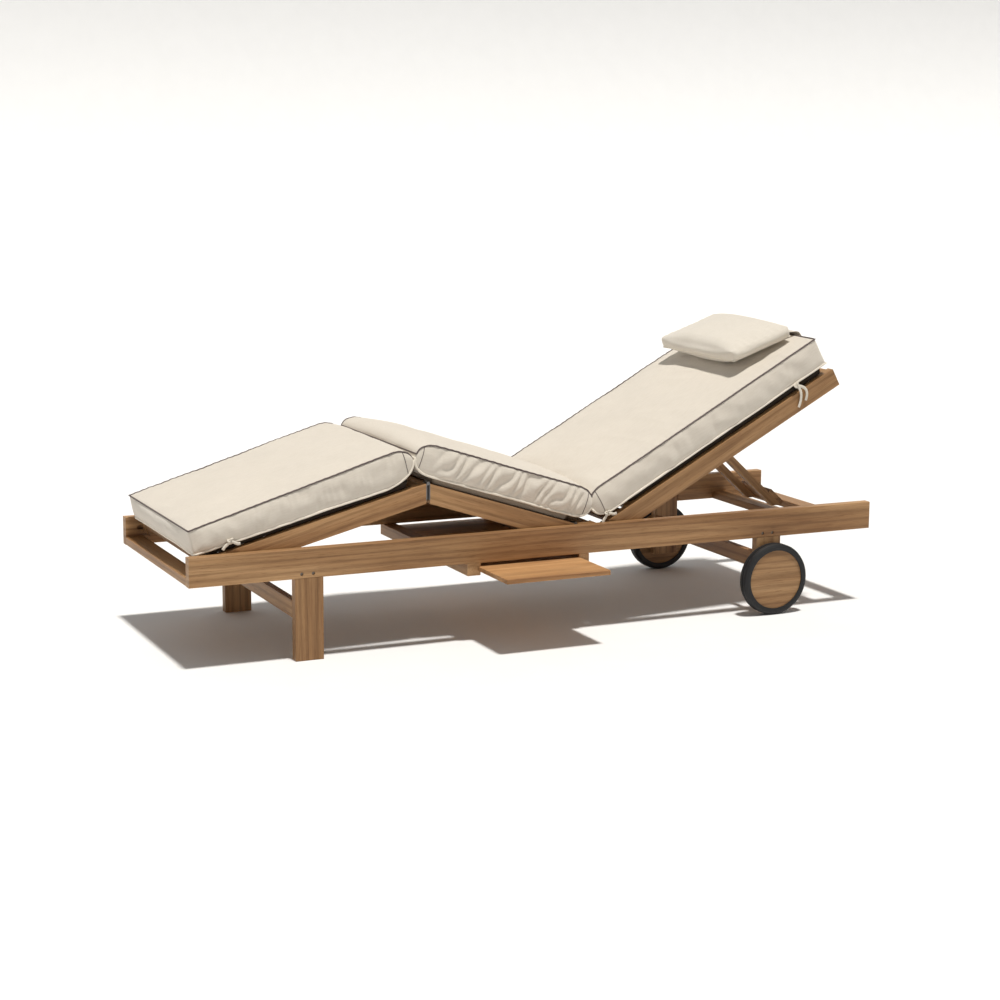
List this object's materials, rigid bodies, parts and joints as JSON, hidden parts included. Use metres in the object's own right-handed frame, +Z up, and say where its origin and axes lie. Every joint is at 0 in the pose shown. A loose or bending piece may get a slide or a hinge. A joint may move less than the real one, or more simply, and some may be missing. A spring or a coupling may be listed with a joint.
{
  "type": "reclining sun lounger",
  "caption": "Slatted wooden sun lounger with a raised knee, an adjustable backrest on a prop, a sliding side tray, wheels at the head end and a padded sectional cushion with a pillow.",
  "frame": {"origin": "on the floor under the middle of the whole outline with the side tray pulled out; the lounger's own centre plane is 68 mm from it, towards +Y", "axes": "+X along the lounger from the foot end to the head end, +Y across it away from the side where the tray stands out, +Z up"},
  "size_m": [2, 0.824, 0.7982],
  "materials": {
    "teak": "oiled, satin",
    "disc_wood": "oiled, satin",
    "cushion_fabric": "woven, matt, off-white",
    "pillow_fabric": "woven, matt, off-white",
    "tie_tape": "woven tape",
    "tyre_rubber": "matt black",
    "hinge_steel": "brushed",
    "screw_steel": "dull",
    "bush_nylon": "matt black"
  },
  "bodies": {
    "frame": {"backrest_pivot_pins": "hinge_steel", "foot_crossbar": "teak", "frame_dowels": "teak", "front_leg_far": "teak", "front_leg_near": "teak", "front_stretcher": "teak", "head_crossbar": "teak", "inner_screws": "screw_steel", "leg_screws": "screw_steel", "prop_crossbar": "teak", "rail_far": "teak", "rail_near": "teak", "rear_leg_far": "teak", "rear_leg_near": "teak", "rear_stretcher": "teak", "seat_block_far": "teak", "seat_block_near": "teak", "seat_hinge_leaves": "hinge_steel", "seat_slat": "teak", "tray_runner_foot": "teak", "tray_runner_head": "teak", "wheel_bushes": "bush_nylon"},
    "thigh": {"thigh_cushion": "cushion_fabric", "thigh_hinge_leaves": "hinge_steel", "thigh_ledgers": "teak", "thigh_slat_screws": "screw_steel", "thigh_slats": "teak", "thigh_stile_far": "teak", "thigh_stile_near": "teak", "hinge_pins": "hinge_steel"},
    "foot": {"foot_ledgers": "teak", "foot_cushion": "cushion_fabric", "foot_cushion_ties": "tie_tape", "foot_hinge_leaves": "hinge_steel", "foot_slat_screws": "screw_steel", "foot_slats": "teak", "foot_slide_pins": "hinge_steel", "foot_stile_near": "teak", "foot_stile_far": "teak"},
    "backrest": {"back_cushion": "cushion_fabric", "back_cushion_ties": "tie_tape", "back_ledgers": "teak", "back_slat_screws": "screw_steel", "back_slats": "teak", "back_stile_far": "teak", "back_stile_near": "teak", "prop_rod": "hinge_steel", "pillow": "pillow_fabric", "pillow_flap": "pillow_fabric"},
    "prop": {"prop_arm_near": "teak", "prop_arm_far": "teak", "prop_foot_board": "teak"},
    "tray": {"tray_board": "teak"},
    "wheel_near": {"wheel_tyre_near": "tyre_rubber", "wheel_disc_near": "disc_wood", "wheel_spindle_near": "hinge_steel"},
    "wheel_far": {"wheel_tyre_far": "tyre_rubber", "wheel_disc_far": "disc_wood", "wheel_spindle_far": "hinge_steel"}
  },
  "joints": [
    {"name": "seat_hinge", "type": "hinge", "parent": "frame", "child": "thigh", "pos_m": [0.08, 0.068, 0.29], "axis": [0, 1, 0], "range_deg": [-17.9, 0]},
    {"name": "knee_hinge", "type": "hinge", "parent": "thigh", "child": "foot", "pos_m": [-0.3485, 0.068, 0.429], "axis": [0, 1, 0], "range_deg": [0, 31.6]},
    {"name": "backrest_pivot", "type": "hinge", "parent": "frame", "child": "backrest", "pos_m": [0.1823, 0.068, 0.265], "axis": [0, 1, 0], "range_deg": [-10, 28.4]},
    {"name": "prop_pivot", "type": "hinge", "parent": "backrest", "child": "prop", "pos_m": [0.58342, 0.068, 0.48189], "axis": [0, 1, 0], "range_deg": [-68.5, 24.2]},
    {"name": "tray_slide", "type": "slide", "parent": "frame", "child": "tray", "axis": [0, 1, 0], "range_m": [0, 0.175]},
    {"name": "wheel_near_spin", "type": "hinge", "parent": "frame", "child": "wheel_near", "pos_m": [0.672, -0.2585, 0.1], "axis": [0, 1, 0], "continuous": true},
    {"name": "wheel_far_spin", "type": "hinge", "parent": "frame", "child": "wheel_far", "pos_m": [0.672, 0.3945, 0.1], "axis": [0, 1, 0], "continuous": true}
  ],
  "couplings": [
    {"joint": "knee_hinge", "follows": "seat_hinge", "ratio": -1.76},
    {"joint": "prop_pivot", "follows": "backrest_pivot", "ratio": -2.408}
  ]
}
